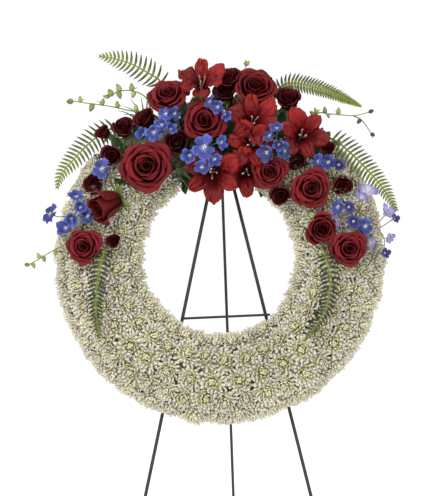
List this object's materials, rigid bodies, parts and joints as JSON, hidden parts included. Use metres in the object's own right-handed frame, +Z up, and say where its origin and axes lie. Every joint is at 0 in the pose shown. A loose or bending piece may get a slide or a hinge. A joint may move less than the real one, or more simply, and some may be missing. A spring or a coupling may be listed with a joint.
{
  "type": "funeral wreath",
  "caption": "Ring wreath of white chrysanthemums with a crescent of red roses, gladioli, blue delphiniums and fern, carried on a folding wire easel.",
  "frame": {"origin": "on the floor, under the middle of the bounding box", "axes": "+Z up, +X to the right of someone who faces the wreath, -Y out of its front"},
  "size_m": [0.7342, 0.4928, 1.3408],
  "materials": {
    "easel_paint": "satin dark green-black paint on wire",
    "tray_plastic": "moulded green plastic",
    "floral_foam": "soaked green floral foam",
    "tie_wire": "bare soft wire",
    "chrysanthemum": "creamy white petals, yellow-green centres",
    "leaf": "dark green leaves",
    "large_rose": "velvety crimson petals",
    "gladiolus": "orange-red ruffled petals",
    "delphinium": "cornflower blue petals with white eyes",
    "delphinium_bud": "yellow-green stems and buds",
    "spray_rose": "dark maroon petals",
    "fern": "olive leaflets on a yellow-green rib"
  },
  "bodies": {
    "wreath_on_frame": {"chrysanthemums_1": "chrysanthemum", "chrysanthemums_10": "chrysanthemum", "chrysanthemums_11": "chrysanthemum", "chrysanthemums_2": "chrysanthemum", "chrysanthemums_3": "chrysanthemum", "chrysanthemums_4": "chrysanthemum", "chrysanthemums_8": "chrysanthemum", "chrysanthemums_9": "chrysanthemum", "delphinium_buds_right": "delphinium_bud", "delphinium_centre_right": "delphinium", "delphinium_left": "delphinium", "delphinium_lower_left": "delphinium", "delphinium_lower_right": "delphinium", "delphinium_middle": "delphinium", "delphinium_right": "delphinium", "delphinium_top": "delphinium", "delphinium_upper_left": "delphinium", "easel_crossbar": "easel_paint", "easel_hinge_bar": "easel_paint", "easel_leg_left": "easel_paint", "easel_leg_right": "easel_paint", "easel_prong": "easel_paint", "fern_frond_1": "fern", "fern_frond_2": "fern", "fern_frond_3": "fern", "fern_frond_4": "fern", "fern_frond_5": "fern", "fern_frond_6": "fern", "foam_ring": "floral_foam", "foam_tray": "tray_plastic", "gladiolus_1": "gladiolus", "gladiolus_2": "gladiolus", "gladiolus_3": "gladiolus", "gladiolus_4": "gladiolus", "gladiolus_5": "gladiolus", "gladiolus_6": "gladiolus", "large_rose_1": "large_rose", "large_rose_10": "large_rose", "large_rose_2": "large_rose", "large_rose_3": "large_rose", "large_rose_4": "large_rose", "large_rose_5": "large_rose", "large_rose_6": "large_rose", "large_rose_7": "large_rose", "large_rose_8": "large_rose", "large_rose_9": "large_rose", "leaf_bed_5": "leaf", "leaf_bed_6": "leaf", "leaf_bed_7": "leaf", "spray_roses_1": "spray_rose", "spray_roses_2": "spray_rose", "spray_roses_3": "spray_rose", "spray_roses_4": "spray_rose", "spray_roses_5": "spray_rose", "spray_roses_6": "spray_rose", "spray_roses_7": "spray_rose", "spray_roses_8": "spray_rose", "wire_tie_left": "tie_wire", "wire_tie_right": "tie_wire"},
    "rear_leg": {"easel_rear_leg": "easel_paint"}
  },
  "joints": [
    {"name": "rear_leg_fold", "type": "hinge", "parent": "wreath_on_frame", "child": "rear_leg", "pos_m": [0.01574, 0.00343, 1.12844], "axis": [1, 0, 0], "range_deg": [-23, 0]}
  ]
}
